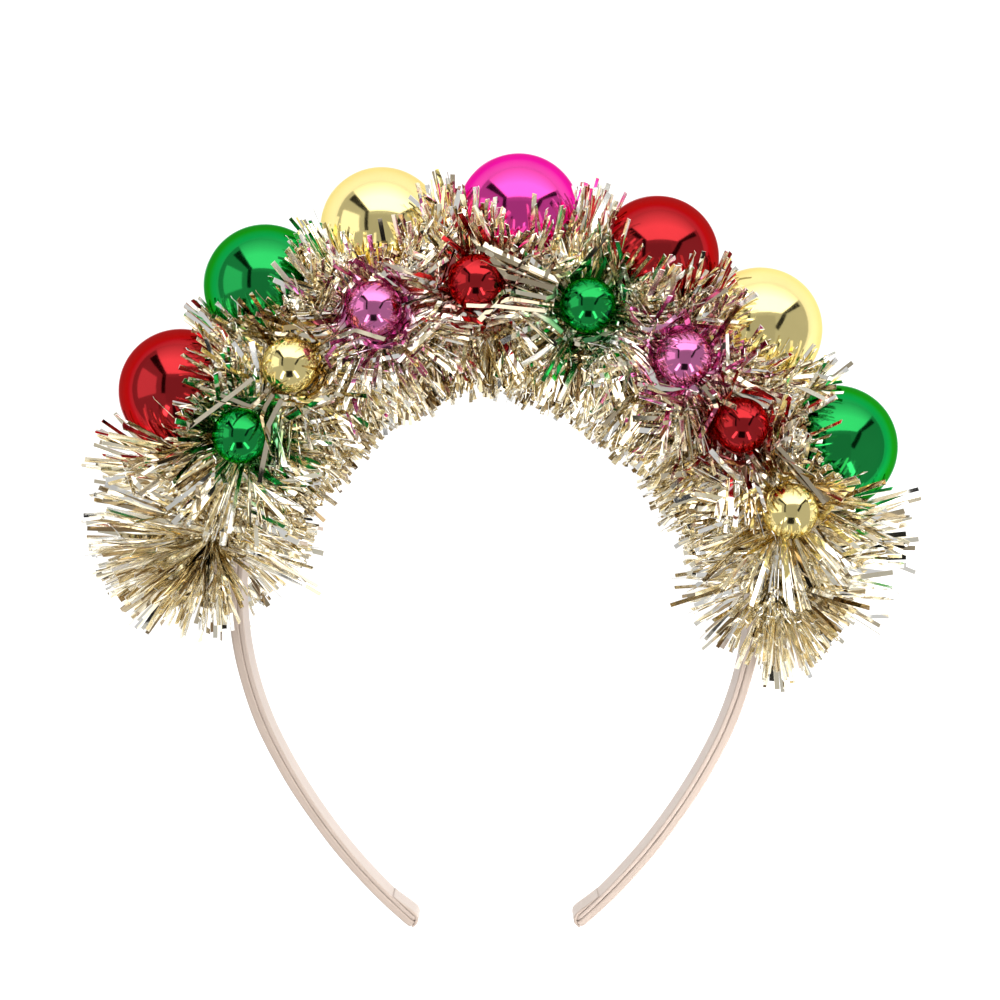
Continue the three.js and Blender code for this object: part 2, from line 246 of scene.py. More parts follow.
# Tufts between one large ball and the next, as the first ball's number and a count
TUFTS = ((1, 18), (2, 26), (3, 22), (4, 26), (6, 8))
TUFT_SPREAD = 0.06
TUFT_SWING = 7 * DEGREE
TUFT_TURN = (4 * DEGREE, 34 * DEGREE)
TUFT_SIZE = 1.06

# Strips bent past the band into the arch: the share at the front, and their elbows and tips
INNER_FRONT = 0.62
INNER_DROP = (4 * MM, 6 * MM)
INNER_RISE = (8.5 * MM, 11 * MM)
INNER_REACH = (19 * MM, 24 * MM)
INNER_SPREAD = (13 * MM, 3 * MM)
INNER_SLIDE = 4.5 * MM
INNER_DIP = 2 * MM

# Strips along the left leg: their count, and how far in, along the leg and up they go
LEG_COUNT = 18
LEG_INWARD = (3 * MM, 9 * MM)
LEG_REACH = (12 * MM, 21 * MM)
LEG_HEIGHT = (7.5 * MM, 11 * MM)

# Painted reflection of a ball's colour on foil near it: the most that chance multiplies nearness by, and
# where it starts and is full
PAINTED_REFLECTION_MOST = 1.2
PAINTED_REFLECTION_FROM = 0.3
PAINTED_REFLECTION_FULL = 0.55

# Stage: bounces, floor and dome in metres, glows, and the soft box's dim end and the height of its fade
LIGHT_BOUNCES = 12
WHITE = (1.0, 1.0, 1.0, 1.0)
BLACK = (0.0, 0.0, 0.0)
FLOOR = ((0, 0, 0), (6, 0, 0), (0, 6, 0))
FLOOR_GLOW = 0.85
STAGE_ROUGHNESS = 0.9
DOME_RADIUS = 5.0
DOME_GLOW = 0.6
DOME_GRID = (8, 24)
DOME_TOP = 80 * DEGREE
BOX_DIM = (0.45, 0.45, 0.45, 1.0)
BOX_FADE = 0.4

# Stage sheets in metres: centre, half the width and half the height as vectors, and glow
SOFT_BOX = ((0.175, 0.6, 0.55), (0.6, 0, 0), (0, 0, 0.53), 2.6)
LEFT_SHEET = ((-0.62, 0.15, 0.45), (0, 0.22, 0), (0, 0, 0.3), 1.5)
CARDS = {
    "front_panel": ((0, 0, 0.95), (0.4, 0, 0), (0, -0.4, 0), 0.5),
    "gap_left": ((-0.47, 0.255, 0.95), (0.07, 0, 0), (0, -0.345, 0), 0.02),
    "gap_right": ((0.66, 0.28, 0.97), (0.07, -0.05, 0), (-0.22, -0.3, 0), 0.02),
    "side_left": ((-0.53, 0.6, 0.6), (0.09, 0, 0), (0, 0, 0.45), 0.02),
    "side_right": ((0.9, 0.6, 0.6), (0.11, 0, 0), (0, 0, 0.45), 0.02),
    "dark_patch": ((0, -0.55, 0.7), (0.2, 0, 0), (0, 0.14, 0.18), 0.02),
}

# Lights in metres: centre, turn, width, height and brightness
BARS = {
    "bar_left": ((-0.42, -0.6, 0.6), (60 * DEGREE, 0, -30 * DEGREE), 0.14, 0.6, 4.0),
    "bar_right": ((0.42, -0.6, 0.6), (60 * DEGREE, 0, 30 * DEGREE), 0.14, 0.6, 4.0),
}
FILL = ((0.16, -0.12, 0.13), (45 * DEGREE, 0, 62 * DEGREE), 0.2, 0.15, 5.2)


# Settings


def setting(kind, **limits):
    """Maker of settings of one kind, which takes a name, a description and a default."""

    def made(name, description, default):
        return kind(name=name, description=description, default=default, **limits)

    return made


length_setting = setting(bpy.props.FloatProperty, min=0, unit="LENGTH", subtype="DISTANCE", precision=5)
angle_setting = setting(bpy.props.FloatProperty, unit="ROTATION", subtype="ANGLE")
share_setting = setting(bpy.props.FloatProperty, min=0, max=1, subtype="FACTOR")
count_setting = setting(bpy.props.IntProperty, min=0)
colour_setting = setting(bpy.props.FloatVectorProperty, min=0, max=1, size=3, subtype="COLOR")


class RibbonSettings(bpy.types.PropertyGroup):
    """Sizes and colours of the ribbon-covered band."""

    tip_thick: length_setting("Tip thickness", "Thickness of the band at its tips", 1.7 * MM)
    edge_round: length_setting("Edge rounding", "Rounding of the band's long edges", 0.45 * MM)
    lining_thick: length_setting("Lining thickness", "Thickness of the ribbon on the inner face", 1.0 * MM)
    lining_tip: length_setting("Lining at tips", "Thickness of the inner ribbon at the tips", 0.65 * MM)
    lining_round: length_setting("Lining rounding", "Rounding of the lining's long edges", 0.28 * MM)
    fold_length: length_setting("Fold length", "Length of ribbon turned over each tip", 8.0 * MM)
    fold_thick: length_setting("Fold thickness", "Thickness of the turned ribbon end", 0.75 * MM)
    thread: length_setting("Thread pitch", "Distance between the ribbon's threads", 0.4 * MM)
    band_colour: colour_setting("Ribbon", "Colour of the satin ribbon", (0.498, 0.402, 0.34))
    lining_colour: colour_setting("Lining", "Colour of the inner ribbon", (0.508, 0.412, 0.352))
    crease: length_setting("Crease", "Gap between band and lining at the crown", 0.03 * MM)
    tip_crease: length_setting("Tip crease", "Gap between band and lining near the tips", 0.11 * MM)


class TinselSettings(bpy.types.PropertyGroup):
    """Number, sizes and colours of the foil strips."""

    seed: count_setting("Seed", "Start of the random draws", 11)
    free_count: count_setting("Free strips", "Strips drawn round the core", 2700)
    rosette_count: count_setting("Rosette strips", "Strips that each small ball presses aside", 230)
    inner_count: count_setting("Inner strips", "Strips bent past the band into the arch", 950)
    end_count: count_setting("End strips", "Strips fanned out at each end", 330)
    length: length_setting("Strip length", "Length of a strip from the core to its tip", 28.5 * MM)
    length_spread: length_setting("Length spread", "Most that a strip is longer or shorter", 2.2 * MM)
    width: length_setting("Strip width", "Usual width of a strip", 1.1 * MM)
    width_spread: length_setting("Width spread", "Most that a strip is wider or narrower", 0.2 * MM)
    foil_thick: length_setting("Foil thickness", "Thickness of a strip", 0.12 * MM)
    lean: angle_setting("Lean", "Usual lean of a strip along the band", 15 * DEGREE)
    bend: angle_setting("Bend", "Usual bend of a strip along its length", 7 * DEGREE)
    twist: angle_setting("Twist", "Most twist of a strip along its length", 22 * DEGREE)
    kinked: share_setting("Kinked", "Share of strips with one sharp kink", 0.06)
    # Painted reflection of the balls on the foil: how far from a ball it reaches, and the most of the ball's
    # colour it paints
    painted_reflection_reach: length_setting("Tint reach", "How far from a ball foil takes its colour", 7.5 * MM)
    tint: share_setting("Tint", "Most of a ball's colour that foil takes", 0.9)
    pale: colour_setting("Pale foil", "Lightest foil", (0.993, 0.982, 0.945))
    gold: colour_setting("Gold foil", "Usual foil", (0.967, 0.897, 0.705))
    deep: colour_setting("Deep foil", "Darkest foil", (0.24, 0.155, 0.065))
    # Painted reflection of a gold ball on the foil beside it, darker and browner than the gold lacquer, so
    # painted shade as well
    painted_gold_reflection_shade: colour_setting("Nest foil", "Foil beside a gold ball", (0.66, 0.50, 0.25))


class BallSettings(bpy.types.PropertyGroup):
    """Details and colours of the glossy balls and their posts."""

    seam: length_setting("Seam height", "Height of the moulded seam", 0.05 * MM)
    seam_width: length_setting("Seam width", "Half width of the moulded seam", 0.22 * MM)
    neck: share_setting("Neck", "Radius of the neck as a share of the ball's", 0.17)
    post_radius: length_setting("Post radius", "Radius of the twisted post", 0.9 * MM)
    red: colour_setting("Red", "Red lacquer", (0.37, 0.018, 0.022))
    green: colour_setting("Green", "Green lacquer", (0.012, 0.28, 0.058))
    gold: colour_setting("Gold", "Gold lacquer", (0.82, 0.69, 0.30))
    magenta: colour_setting("Magenta", "Magenta lacquer", (0.72, 0.055, 0.34))
    pink: colour_setting("Pink", "Pink lacquer", (0.62, 0.17, 0.40))
    post: colour_setting("Post", "Colour of the posts", SLOT_COLOURS["stem"])


class StageSettings(bpy.types.PropertyGroup):
    """Camera and floor."""

    distance: length_setting("Camera distance", "From the camera to the band's middle", 400 * MM)
    field: length_setting("Field", "Width that the picture shows at the band's middle", 242 * MM)
    shift_x: length_setting("Aim right", "Camera's place to the right of the arch's centre", 0.97 * MM)
    shift_y: length_setting("Aim up", "Camera's place above the arch's centre", 21.3 * MM)
    floor_colour: colour_setting("Floor", "Colour of the floor", (0.4, 0.4, 0.4))


# Surfaces from arrays


def unit(vectors):
    """Vectors divided by their lengths."""
    return vectors / np.maximum(np.linalg.norm(vectors, axis=-1, keepdims=True), LEAST_LENGTH)


def swung(first, second, angle):
    """Ways turned from a first towards a second: the angle's cosine of the one and sine of the other."""
    angle = angle[..., None]
    return np.cos(angle) * first + np.sin(angle) * second


def outward(heading):
    """Unit vectors in the band's plane, turned clockwise from the crown by a heading."""
    return swung(CROWNWARD, ACROSS, heading)


def way_out(point):
    """Unit vector in the band's plane from the arch's centre towards a point."""
    return unit((point - ARCH_CENTRE) * IN_PLANE)


def arch_places(lengths):
    """Points on the band's centreline at lengths from the crown, and the ways out of and along the band.

    Each arc in turn carries the point round its own centre by its share of the length. Past a tip the line
    runs straight on. Left of the crown the right side is mirrored.
    """
    side = np.where(lengths < 0, -1.0, 1.0)[:, None]
    mirror = np.where(ACROSS > 0, side, 1.0)
    rest = np.abs(lengths)
    heading = np.zeros_like(rest)
    points = CROWN_RADIUS * outward(heading)
    for radius, turn in ARCS:
        step = np.minimum(rest / radius, turn)
        points = points + radius * (outward(heading + step) - outward(heading))
        heading = heading + step
        rest = rest - step * radius
    along = outward(heading + QUARTER)
    points = (points + along * rest[:, None]) * mirror
    return ARCH_CENTRE + points, outward(heading) * mirror, along * mirror * side


def sweep(centres, normals, out, height):
    """Rings of a profile carried along a path: centre plus a distance along the normal plus a height."""
    return centres[:, None] + normals[:, None] * out[..., None] + UP * height[..., None]


def rounded_profile(inner, outer, width, radius, run, turn):
    """Rectangle with round corners, as distances out, heights and lengths run round it.

    Each corner is an arc of some points, and each side between two corners an even row.
    """
    half = width / 2
    corners = (
        (outer - radius, half - radius),
        (inner + radius, half - radius),
        (inner + radius, radius - half),
        (outer - radius, radius - half),
    )
    arcs = []
    for quarter, (out, height) in enumerate(corners):
        angle = (quarter + np.linspace(0, 1, turn)) * QUARTER
        arcs.append(np.stack([out + radius * np.cos(angle), height + radius * np.sin(angle)], -1))
    rows = []
    for here, there in zip(arcs, arcs[1:] + arcs[:1]):
        share = np.linspace(0, 1, run + 2)[1:-1, None]
        rows += [here, here[-1] + (there[0] - here[-1]) * share]
    out, height = np.concatenate(rows).T
    around = np.cumsum(np.hypot(np.diff(out, append=out[0]), np.diff(height, append=height[0])))
    return out, height, around


def tube_faces(rows, columns):
    """Corner numbers of the quads of a skin through rings: a point, the next ring's and their neighbours."""
    number = np.arange(rows * columns).reshape(rows, columns)
    here, there = number[:-1], number[1:]
    quads = np.stack([here, there, np.roll(there, -1, 1), np.roll(here, -1, 1)], -1)
    return quads.reshape(-1, 4)


def tube_map(around, along):
    """Places on a map for the quads of a tube: distance along it, then round it, with no seam in a quad."""
    edges = np.append(around, around[-1] + around[1] - around[0])
    here, there, low, high = np.broadcast_arrays(along[:-1, None], along[1:, None], edges[:-1], edges[1:])
    u = np.stack([here, there, there, here], -1)
    v = np.stack([low, low, high, high], -1)
    return np.stack([u, v], -1).reshape(-1, 4, 2)


def volume_of(points, quads):
    """Signed volume inside quads: a sum of tetrahedra from the origin, two to a quad."""
    a, b, c, d = (points[quads[:, k]] for k in range(4))
    return (np.einsum("ij,ij->i", a, np.cross(b, c)) + np.einsum("ij,ij->i", a, np.cross(c, d))).sum() / 6


def closed_skin(rings):
    """Points, quads and end caps of a skin through rings, and whether they were turned to point outwards."""
    rows, columns = rings.shape[:2]
    points = rings.reshape(-1, 3)
    quads = tube_faces(rows, columns)
    first = np.arange(columns)
    caps = [first, first[::-1] + (rows - 1) * columns]
    turned = volume_of(points - points.mean(0), quads) < 0
    if turned:
        quads = quads[:, ::-1]
        caps = [cap[::-1] for cap in caps]
    return points, quads, caps, turned


def new_mesh(name, points, quads, caps=(), smooth=True):
    """Mesh from arrays of points and quads, with larger faces that close its ends."""
    corners = np.concatenate([quads.ravel(), *caps]).astype(np.int32)
    sizes = np.concatenate([np.full(len(quads), 4), [len(cap) for cap in caps]]).astype(np.int32)
    mesh = bpy.data.meshes.new(name)
    mesh.vertices.add(len(points))
    mesh.vertices.foreach_set("co", points.astype(np.float32).ravel())
    mesh.loops.add(len(corners))
    mesh.loops.foreach_set("vertex_index", corners)
    mesh.polygons.add(len(sizes))
    mesh.polygons.foreach_set("loop_start", np.concatenate([[0], np.cumsum(sizes)[:-1]]).astype(np.int32))
    mesh.polygons.foreach_set("use_smooth", np.full(len(sizes), smooth))
    mesh.update(calc_edges=True)
    if mesh.validate():
        raise RuntimeError(f"{name} has faces that can't be used")
    return mesh


def add_map(mesh, name, *places):
    """UV map with a place for each corner of each face, in order."""
    layer = mesh.uv_layers.new(name=name)
    rows = np.concatenate([part.reshape(-1, 2) for part in places])
    layer.uv.foreach_set("vector", rows.astype(np.float32).ravel())


def tube(name, rings, around, along):
    """Closed skin through rings, with its ribbon map, on which each end is a line."""
    points, quads, caps, turned = closed_skin(rings)
    mesh = new_mesh(name, points, quads, caps)
    places = tube_map(around, along)
    if turned:
        places = places[:, ::-1]
    ends = np.repeat(along[[0, -1]], rings.shape[1])
    add_map(mesh, RIBBON_MAP, places, np.stack([ends, np.zeros_like(ends)], -1))
    return mesh


def joined_tubes(name, groups):
    """One mesh of several closed skins, whose corner numbers follow on from one to the next."""
    skins = [closed_skin(rings) for rings in groups]
    starts = np.cumsum([0] + [len(points) for points, *_ in skins])
    points = np.concatenate([points for points, *_ in skins])
    quads = np.concatenate([quads + start for (_, quads, _, _), start in zip(skins, starts)])
    caps = [cap + start for (_, _, ends, _), start in zip(skins, starts) for cap in ends]
    return new_mesh(name, points, quads, caps)


def add_object(name, data):
    """Object of a mesh, a light or a camera, put into the scene at its origin."""
    made = bpy.data.objects.new(name, data)
    bpy.context.scene.collection.objects.link(made)
    return made


def put(mesh, material, slot, *nodes):
    """Object of a finished mesh that rides on the frame and stands for its solids."""
    mesh.materials.append(material)
    piece = add_object(mesh.name, mesh)
    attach(piece, "root")
    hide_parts(*nodes)


# Shader maths


class Value:
    """One number or colour of a material: an output socket, whose Python operators add Math nodes."""

    def __init__(self, shader, socket):
        self.shader = shader
        self.socket = socket

    def math(self, operation, *others):
        inputs = dict(enumerate((self, *others)))
        return self.shader.node("ShaderNodeMath", {"operation": operation}, inputs)

    def reflected(self, operation, first):
        return self.shader.node("ShaderNodeMath", {"operation": operation}, {0: first, 1: self})

    def __add__(self, other):
        return self.math("ADD", other)

    def __radd__(self, other):
        return self.reflected("ADD", other)

    def __sub__(self, other):
        return self.math("SUBTRACT", other)

    def __rsub__(self, other):
        return self.reflected("SUBTRACT", other)

    def __mul__(self, other):
        return self.math("MULTIPLY", other)

    def __rmul__(self, other):
        return self.reflected("MULTIPLY", other)

    def __truediv__(self, other):
        return self.math("DIVIDE", other)

    def __rtruediv__(self, other):
        return self.reflected("DIVIDE", other)


class Shader:
    """Material with one principled shader, and the nodes that feed it."""

    def __init__(self, name, constants):
        self.material = bpy.data.materials.new(name)
        self.material.use_nodes = True
        self.tree = self.material.node_tree
        self.surface = self.tree.nodes["Principled BSDF"]
        for socket, value in constants.items():
            self.surface.inputs[socket].default_value = value

    @staticmethod
    def socket_of(sockets, key):
        if isinstance(key, int):
            return sockets[key]
        return next(socket for socket in sockets if socket.name == key and socket.enabled)

    def feed(self, socket, value):
        if isinstance(value, Value):
            self.tree.links.new(value.socket, socket)
        else:
            socket.default_value = value

    def node(self, kind, settings=None, inputs=None, output=0):
        made = self.tree.nodes.new(kind)
        for name, value in (settings or {}).items():
            setattr(made, name, value)
        for key, value in (inputs or {}).items():
            self.feed(self.socket_of(made.inputs, key), value)
        return Value(self, self.socket_of(made.outputs, output))

    def set(self, socket, value):
        self.feed(self.surface.inputs[socket], value)

    def mix(self, share, first, second):
        inputs = {"Factor": share, "A": first, "B": second}
        return self.node("ShaderNodeMix", {"data_type": "RGBA"}, inputs, "Result")

    def noise(self, place, kind):
        scale, detail = NOISES[kind]
        inputs = {"Vector": place, "Scale": scale, "Detail": detail}
        return self.node("ShaderNodeTexNoise", None, inputs)

    def scaled(self, place, factors):
        return self.node("ShaderNodeVectorMath", {"operation": "MULTIPLY"}, {0: place, 1: factors})

    def part(self, place, axis):
        return self.node("ShaderNodeSeparateXYZ", None, {"Vector": place}, axis)

    def object_place(self):
        return self.node("ShaderNodeTexCoord", None, None, "Object")

    def map_place(self, name):
        return self.node("ShaderNodeUVMap", {"uv_map": name})

    def attribute(self, name, output="Fac"):
        return self.node("ShaderNodeAttribute", {"attribute_name": name}, None, output)

    def shade(self, share, colour, kind):
        dark, light = TONES[kind]
        self.set("Base Color", self.mix(share, opaque(colour, dark), opaque(colour, light)))

    def roughen(self, share, kind):
        least, most = ROUGHNESS[kind]
        self.set("Roughness", least + share * (most - least))

    def raise_relief(self, height, kind):
        depth, strength = RELIEF[kind]
        inputs = {"Height": height, "Distance": depth, "Strength": strength}
        self.set("Normal", self.node("ShaderNodeBump", None, inputs))


def opaque(colour, factor=1.0):
    """Colour times a factor, with the fourth number that a colour socket takes."""
    return (*(min(1.0, part * factor) for part in colour), 1.0)


def satin_finish(name, colour, thread, sheen):
    """Satin ribbon: threads crossing on its own map, fine streaks along it, soft patches and a sheen."""
    shader = Shader(name, {"Sheen Weight": sheen, **SATIN_SHINE})
    place = shader.map_place(RIBBON_MAP)
    streaks = shader.noise(shader.scaled(place, STREAK_STRETCH), "streaks")
    patches = shader.noise(place, "patches")
    shader.shade(streaks * STREAK_SHARE + patches * (1 - STREAK_SHARE), colour, "satin")
    shader.roughen(streaks, "satin")
    turn = WHOLE_TURN / thread
    warp = (shader.part(place, "X") * turn).math("SINE")
    weft = (shader.part(place, "Y") * turn).math("SINE")
    shader.raise_relief(warp * weft * WEAVE_SHARE + streaks, "satin")
    return shader.material


def foil_finish(name, settings):
    """Metallised film: each strip has its own tone and gloss, faint creases that break its mirror, and a
    painted reflection of the nearest ball mixed into its colour.
    """
    shader = Shader(name, {"Metallic": 1.0})
    tone = shader.attribute("tone")
    paleness = (tone - PALE_FROM) / (PALE_TO - PALE_FROM)
    paler = shader.mix(paleness, opaque(settings.gold), opaque(settings.pale))
    foil = shader.mix(tone / DEEP_TO, opaque(settings.deep), paler)
    # Painted reflection: the nearest ball's colour, mixed over the foil by its share
    tint = shader.attribute("tint", "Color")
    shader.set("Base Color", shader.mix(shader.attribute("tint", "Alpha"), foil, tint))
    shader.roughen(shader.attribute("gloss"), "foil")
    shader.raise_relief(shader.noise(shader.object_place(), "creases"), "foil")
    return shader.material


def lacquer_finish(name, colour):
    """Metallised gloss lacquer: an even colour with faint clouds, dull smears and a very slight ripple."""
    edge = opaque(np.power(colour, EDGE_POWER).tolist())
    shader = Shader(name, {"Specular Tint": edge, **LACQUER_SHINE})
    place = shader.object_place()
    shader.shade(shader.noise(place, "clouds"), colour, "lacquer")
    shader.roughen(shader.noise(shader.scaled(place, SMEAR_STRETCH), "smears"), "lacquer")
    shader.raise_relief(shader.noise(place, "ripple"), "lacquer")
    return shader.material


def post_finish(name, colour):
    """Dull twisted post: scuffs that change its colour, its roughness and its relief together."""
    shader = Shader(name, {"Metallic": POST_METAL})
    scuffs = shader.noise(shader.object_place(), "scuffs")
    shader.shade(scuffs, colour, "post")
    shader.roughen(scuffs, "post")
    shader.raise_relief(scuffs, "post")
    return shader.material


# Band, lining and folds


def band_lengths(steps):
    """Lengths along the whole band, closer together at its tips: a sine of an even row."""
    return HALF_LENGTH * np.sin(np.linspace(-QUARTER, QUARTER, steps))


def down_legs(lengths, crown, tip):
    """Size along the band: one value round the crown, which changes evenly to another down each leg."""
    return np.interp(np.abs(lengths), (CROWN_LENGTH, HALF_LENGTH), (crown, tip))


def end_size(lengths, rounding):
    """Size of a section near the tips: 1 along the band, falling round a quarter circle at the end."""
    left = np.clip((HALF_LENGTH - np.abs(lengths)) / rounding, 0, 1)
    return END_LEAST_SIZE + (1 - END_LEAST_SIZE) * np.sqrt(np.clip(1 - (1 - left) ** 2, 0, 1))


def wave(lengths, height, first, second):
    """Uneven wave along the band: a height times the sines of the length by two wave lengths."""
    return height * np.sin(lengths / first) * np.sin(lengths / second)


class HEADBAND_OT_wrap_band(bpy.types.Operator):
    """Wrap the springy band in satin ribbon"""

    bl_idname = "headband.wrap_band"
    bl_label = "Wrap Band"

    def execute(self, context):
        sizes = context.scene.headband_ribbon
        lengths = band_lengths(BAND_STEPS)
        centres, normals, _ = arch_places(lengths)
        profile = rounded_profile(BAND_INNER, BAND_OUTER, BAND_WIDTH, sizes.edge_round, *BAND_PROFILE)
        out, height, around = profile
        size = end_size(lengths, BAND_END_ROUND)
        thick = size * down_legs(lengths, 1, sizes.tip_thick / BAND_THICK)
        ripple = np.where(out > 0, wave(lengths, *BAND_WAVE)[:, None], 0)
        outs = BAND_INNER + (out - BAND_INNER) * thick[:, None] + ripple
        heights = height * (1 - END_NARROWER * (1 - size))[:, None]
        mesh = tube("satin_band", sweep(centres, normals, outs, heights), around, lengths)
        finish = satin_finish("satin_ribbon", sizes.band_colour, sizes.thread, BAND_SHEEN)
        put(mesh, finish, "ribbon", "band")
        return {"FINISHED"}


class HEADBAND_OT_line_band(bpy.types.Operator):
    """Lay the inner ribbon along the band's inner face"""

    bl_idname = "headband.line_band"
    bl_label = "Line Band"

    def execute(self, context):
        sizes = context.scene.headband_ribbon
        lengths = band_lengths(LINING_STEPS)
        centres, normals, _ = arch_places(lengths)
        inner = LINING_OUTER - sizes.lining_thick
        profile = rounded_profile(inner, LINING_OUTER, LINING_WIDTH, sizes.lining_round, *LINING_PROFILE)
        out, height, around = profile
        sway = wave(lengths, *LINING_WAVE)[:, None]
        heights = height * end_size(lengths, LINING_END_ROUND)[:, None] + sway
        closed = SEAM_MIDDLE + wave(lengths, *SEAM_WAVE)
        apart = down_legs(lengths, sizes.crease, sizes.tip_crease) * (1 - SEAM_CLOSED * closed)
        thick = down_legs(lengths, sizes.lining_thick, sizes.lining_tip) + GAP - apart
        outs = (BAND_INNER - apart)[:, None] + (out - LINING_OUTER) * (thick / sizes.lining_thick)[:, None]
        mesh = tube("inner_ribbon", sweep(centres, normals, outs, heights), around, lengths)
        thread = sizes.thread * LINING_COARSER
        finish = satin_finish("inner_satin", sizes.lining_colour, thread, LINING_SHEEN)
        put(mesh, finish, "lining_ribbon", "lining")
        return {"FINISHED"}


def fold_mesh(name, side, sizes):
    """Ribbon end: a thin round-edged profile carried along the inner face and in an arc up over the tip.

    It is thinnest at its free end, grows to its full thickness and thins again over the tip.
    """
    thick = sizes.fold_thick
    middle = LINING_OUTER - sizes.lining_tip - sizes.crease - thick / 2
    end = sizes.crease + thick / 2
    top = BAND_INNER + sizes.tip_thick * FOLD_RISE
    flat_steps, turn_steps, rise_steps = FOLD_STEPS
    flat = np.linspace(-sizes.fold_length, end - FOLD_BEND, flat_steps)[:-1]
    turn = np.linspace(0, QUARTER, turn_steps)
    rise = np.linspace(middle + FOLD_BEND, top, rise_steps)[1:]
    past = np.concatenate([flat, end - FOLD_BEND + FOLD_BEND * np.sin(turn), np.full_like(rise, end)])
    out = np.concatenate([np.full_like(flat, middle), middle + FOLD_BEND - FOLD_BEND * np.cos(turn), rise])
    start = np.clip((past + sizes.fold_length) / (FOLD_GROWS * sizes.fold_length), 0, 1)
    finish = np.sqrt(np.clip((top - out) / FOLD_THINS, 0, 1))
    least_start, least_finish = FOLD_LEAST
    full = (least_start + (1 - least_start) * start) * (least_finish + (1 - least_finish) * finish)
    seated = np.where(past < end - FOLD_BEND, (1 - full) * thick / 2, 0)
    places, ways_out, _ = arch_places(side * (HALF_LENGTH + past))
    centres = places + ways_out * (out + seated)[:, None]
    normals = np.cross(UP, unit(np.gradient(centres, axis=0)))
    profile = rounded_profile(-thick / 2, thick / 2, FOLD_WIDTH, thick * FOLD_ROUND, *FOLD_PROFILE)
    across, height, around = profile
    narrow = 1 - FOLD_NARROWER * (1 - start)
    rings = sweep(centres, normals, across * full[:, None], height * narrow[:, None])
    return tube(name, rings, around, past)


class HEADBAND_OT_fold_tips(bpy.types.Operator):
    """Turn the ribbon's ends over the band's tips"""

    bl_idname = "headband.fold_tips"
    bl_label = "Fold Tips"

    def execute(self, context):
        sizes = context.scene.headband_ribbon
        finish = satin_finish("folded_satin", sizes.band_colour, sizes.thread, BAND_SHEEN)
        for word, side in (("left", -1.0), ("right", 1.0)):
            mesh = fold_mesh(f"ribbon_fold_{word}", side, sizes)
            put(mesh, finish, "ribbon", f"tip_fold_{word}")
        return {"FINISHED"}


# Balls and posts


def ball_of(node):
    """Centre and radius of a ball's solid, from its box."""
    low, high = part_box(node)
    return np.array((low + high) / 2), (high.z - low.z) / 2


def balls_of(row):
    """Centres and radii of a row of balls, from left to right."""
    return [ball_of(f"bauble_{row}_{k}") for k, _ in enumerate(BALL_ROWS[row], 1)]


def balls_with_room(*room):
    """All balls, with the room that is left round their row added to their radii."""
    return [
        (centre, radius + extra)
        for row, extra in zip(BALL_ROWS, room)
        for centre, radius in balls_of(row)
    ]


def post_seat(centre, row):
    """Foot of a ball's post: on the band's outer face for a large ball, on its front edge otherwise."""
    if row == "large":
        return ARCH_CENTRE + way_out(centre) * (CROWN_RADIUS + BAND_OUTER + GAP)
    out = CROWN_RADIUS + (BAND_INNER + BAND_OUTER) / 2
    return ARCH_CENTRE + way_out(centre) * out + UP * (BAND_WIDTH / 2 + SMALL_POST_LIFT)


def turned_rings(centre, axis, along, radius, angle):
    """Rings of a turned shape: distance along the axis and radius from it, each a grid of rows by angles."""
    first = unit(np.cross(axis, ASLANT))
    second = np.cross(axis, first)
    return centre + along[..., None] * axis + radius[..., None] * swung(first, second, angle)


def ball_mesh(name, centre, radius, axis, sizes, rows, columns):
    """Ball with a neck and a moulded seam.

    A circle is turned about the post's axis from the far pole to the neck, where it runs out into a collar.
    The angles crowd together at the seam, whose height falls off as a bell curve with distance from it.
    """
    polar = np.linspace(POLE_ANGLE, math.pi - math.asin(sizes.neck), rows)
    even = np.linspace(0, WHOLE_TURN, columns, endpoint=False)
    angle = even - SEAM_CROWDING * np.sin(2 * even)
    aside = radius * np.sin(polar)[:, None] * np.abs(np.sin(angle))
    size = radius + sizes.seam * np.exp(-((aside / sizes.seam_width) ** 2))
    collar_along, collar_ring = np.repeat(np.array(COLLAR).T[..., None], columns, -1) * radius
    along = np.concatenate([-size * np.cos(polar)[:, None], collar_along])
    ring = np.concatenate([size * np.sin(polar)[:, None], collar_ring * sizes.neck])
    rings = turned_rings(centre, axis, along, ring, np.broadcast_to(angle, ring.shape))
    collar_polar = polar[-1] + COLLAR_STEP * np.arange(1, len(COLLAR) + 1)
    return tube(name, rings, even * radius, np.concatenate([polar, collar_polar]) * radius)


class HEADBAND_OT_add_balls(bpy.types.Operator):
    """Add the two rows of glossy balls"""

    bl_idname = "headband.add_balls"
    bl_label = "Add Balls"

    def execute(self, context):
        sizes = context.scene.headband_balls
        finishes = {
            colour: lacquer_finish(f"{colour}_lacquer", getattr(sizes, colour))
            for colour in LACQUERS
        }
        for row, colours in BALL_ROWS.items():
            for k, (colour, (centre, radius)) in enumerate(zip(colours, balls_of(row)), 1):
                axis = unit(post_seat(centre, row) - centre)
                mesh = ball_mesh(f"glossy_ball_{row}_{k}", centre, radius, axis, sizes, *BALL_GRIDS[row])
                put(mesh, finishes[colour], f"bauble_{colour}", f"bauble_{row}_{k}")
        return {"FINISHED"}


def post_rings(foot, head, radius):
    """Twisted post: two lobes round its axis that turn along it, slimmer at its ends."""
    rows, columns = POST_GRID
    way = head - foot
    length = np.linalg.norm(way)
    along = np.linspace(0, length, rows)[:, None]
    angle = np.linspace(0, WHOLE_TURN, columns, endpoint=False)
    lobes = 1 - POST_LOBES + POST_LOBES * np.cos(2 * angle - along * POST_TWIST)
    size = radius * lobes * np.where((along > 0) & (along < length), 1, POST_END)
    along, angle = (np.broadcast_to(part, size.shape) for part in (along, angle))
    return turned_rings(foot, way / length, along, size, angle)


